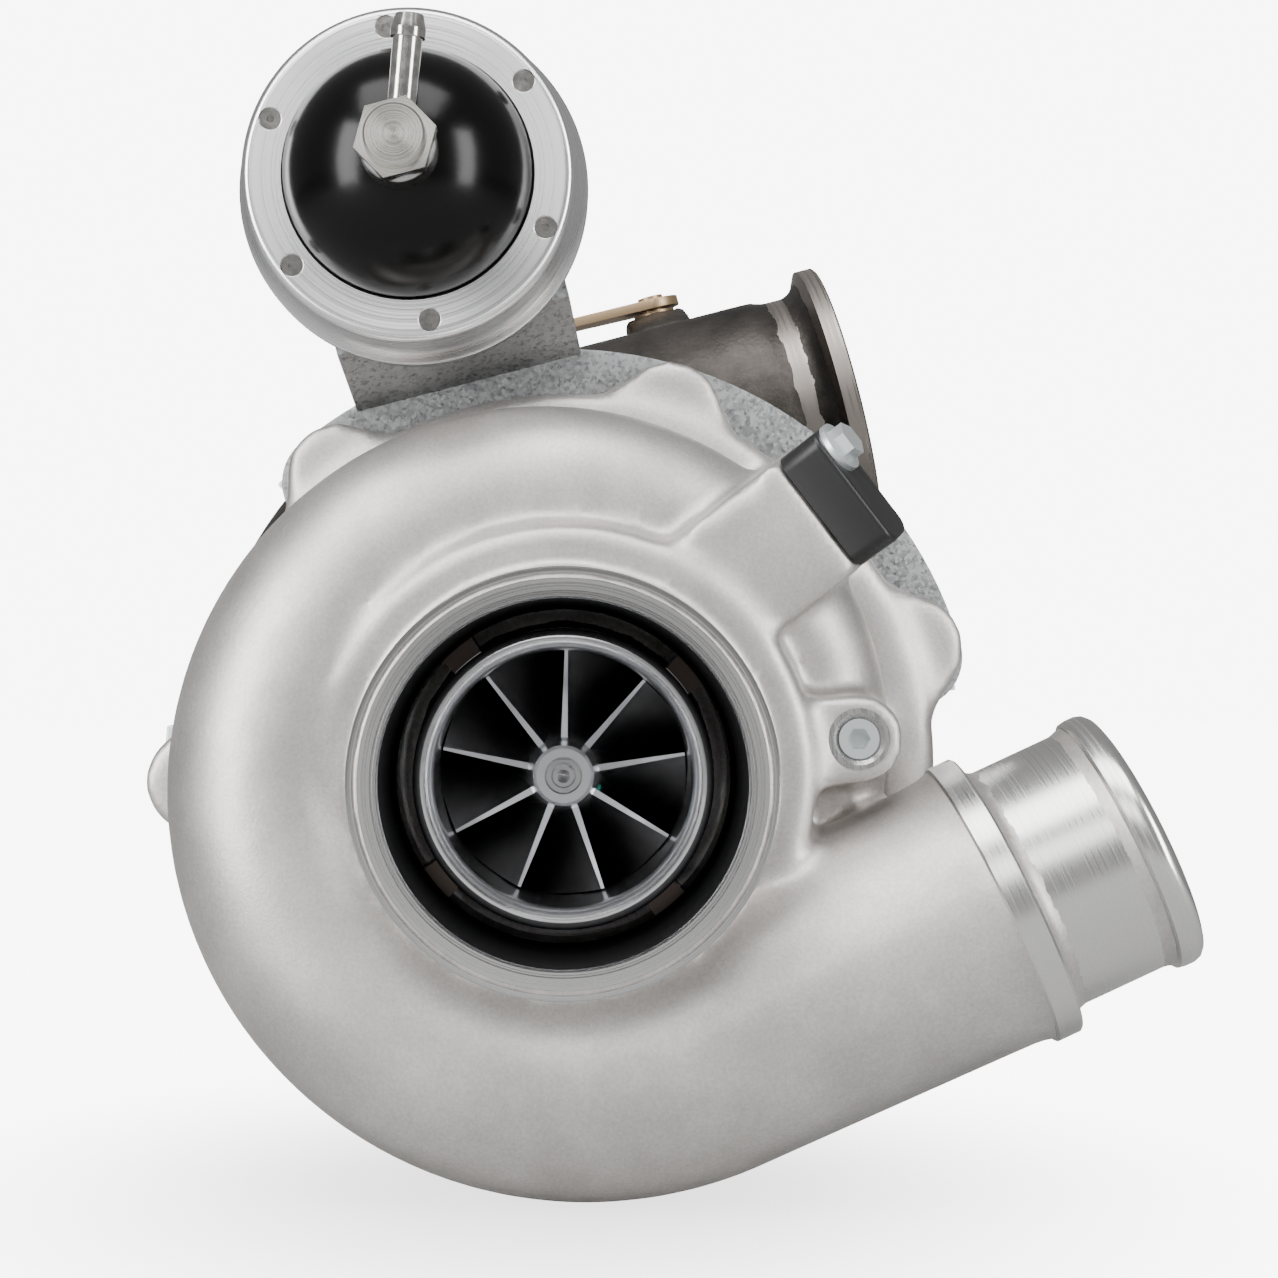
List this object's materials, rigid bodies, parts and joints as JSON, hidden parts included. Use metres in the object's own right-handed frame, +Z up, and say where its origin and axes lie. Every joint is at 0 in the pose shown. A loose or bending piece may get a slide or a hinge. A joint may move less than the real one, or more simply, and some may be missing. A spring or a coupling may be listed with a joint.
{
  "type": "turbocharger",
  "caption": "Ball-bearing turbocharger: ported aluminium compressor cover, V-band turbine housing and a pneumatic actuator that opens an internal wastegate through a rod and crank.",
  "frame": {"origin": "on the shaft axis, in the plane of the compressor inlet face", "axes": "+Y along the shaft to the turbine, +Z up, +X right as seen by someone looking into the compressor inlet"},
  "size_m": [0.2704, 0.279, 0.3014],
  "materials": {
    "cast_aluminium": "sand-blasted casting",
    "turned_aluminium": "turned",
    "milled_aluminium": "five-axis milled",
    "cast_iron_grey": "as cast",
    "cast_iron_hot": "as cast, heat darkened",
    "galvanised_steel": "spangled zinc coat",
    "zinc_plated_steel": "zinc plated",
    "ground_steel": "ground",
    "stainless_steel": "turned and polished",
    "heat_tinted_steel": "straw and brown heat tint",
    "superalloy": "investment cast",
    "black_enamel": "gloss",
    "black_plastic": "moulded",
    "bronze": "turned",
    "black_rubber": "moulded",
    "spring_steel": "drawn"
  },
  "bodies": {
    "housing": {"compressor_cover": "cast_aluminium", "ported_shroud_insert": "turned_aluminium", "compressor_backplate": "turned_aluminium", "cover_o_ring": "black_rubber", "cover_clamp_plates": "galvanised_steel", "cover_bolts": "zinc_plated_steel", "speed_sensor_plug": "black_plastic", "speed_sensor_plug_bolt": "zinc_plated_steel", "boost_port_plug": "zinc_plated_steel", "bearing_outer_sleeve": "ground_steel", "turbine_seal_ring": "spring_steel", "bearing_housing": "cast_iron_grey", "backplate_screws": "zinc_plated_steel", "heat_shield": "superalloy", "v_band_clamp": "stainless_steel", "v_band_bolt": "stainless_steel", "actuator_bracket": "galvanised_steel", "turbine_housing": "cast_iron_hot", "wastegate_bush": "superalloy", "actuator_ring": "turned_aluminium", "actuator_body": "turned_aluminium", "actuator_dome": "black_enamel", "actuator_diaphragm": "black_rubber", "actuator_spring": "spring_steel", "actuator_guide_bush": "bronze", "actuator_lock_nut": "zinc_plated_steel", "ring_screws": "stainless_steel", "banjo_fitting": "stainless_steel", "banjo_washers": "bronze", "banjo_bolt": "stainless_steel"},
    "rotor": {"compressor_wheel": "milled_aluminium", "compressor_nut": "ground_steel", "rotor_shaft": "ground_steel", "thrust_collar": "ground_steel", "bearing_inner_races": "ground_steel", "turbine_wheel": "superalloy"},
    "front_ball_row": {"front_balls": "ground_steel", "front_cage": "bronze"},
    "rear_ball_row": {"rear_balls": "ground_steel", "rear_cage": "bronze"},
    "actuator_rod_assembly": {"actuator_piston": "turned_aluminium", "actuator_rod": "stainless_steel", "rod_end": "zinc_plated_steel", "rod_jam_nut": "zinc_plated_steel"},
    "wastegate_crank": {"crank_shaft": "superalloy", "crank_lever": "heat_tinted_steel", "lever_pin": "ground_steel", "pin_clip": "spring_steel", "flap_arm": "superalloy", "flap_valve": "superalloy", "flap_washer": "superalloy"}
  },
  "joints": [
    {"name": "rotor_spin", "type": "hinge", "parent": "housing", "child": "rotor", "pos_m": [0, 0.115, 0], "axis": [0, 1, 0], "continuous": true},
    {"name": "front_ball_row_spin", "type": "hinge", "parent": "housing", "child": "front_ball_row", "pos_m": [0, 0.106, 0], "axis": [0, 1, 0], "continuous": true},
    {"name": "rear_ball_row_spin", "type": "hinge", "parent": "housing", "child": "rear_ball_row", "pos_m": [0, 0.125, 0], "axis": [0, 1, 0], "continuous": true},
    {"name": "actuator_rod_slide", "type": "slide", "parent": "housing", "child": "actuator_rod_assembly", "axis": [0, 1, 0], "range_m": [0, 0.0125], "stiffness_N_per_m": 3000, "springref_m": -0.02, "deforming": ["actuator_spring", "actuator_diaphragm"]},
    {"name": "wastegate_crank_turn", "type": "hinge", "parent": "housing", "child": "wastegate_crank", "pos_m": [0.04, 0.226, 0.09298], "axis": [-0.2504, 0, 0.9681], "range_deg": [-20.05, 0]}
  ],
  "couplings": [
    {"joint": "front_ball_row_spin", "follows": "rotor_spin", "ratio": 0.3659},
    {"joint": "rear_ball_row_spin", "follows": "rotor_spin", "ratio": 0.3659},
    {"joint": "wastegate_crank_turn", "follows": "actuator_rod_slide", "rad_per_m": -27.925}
  ]
}
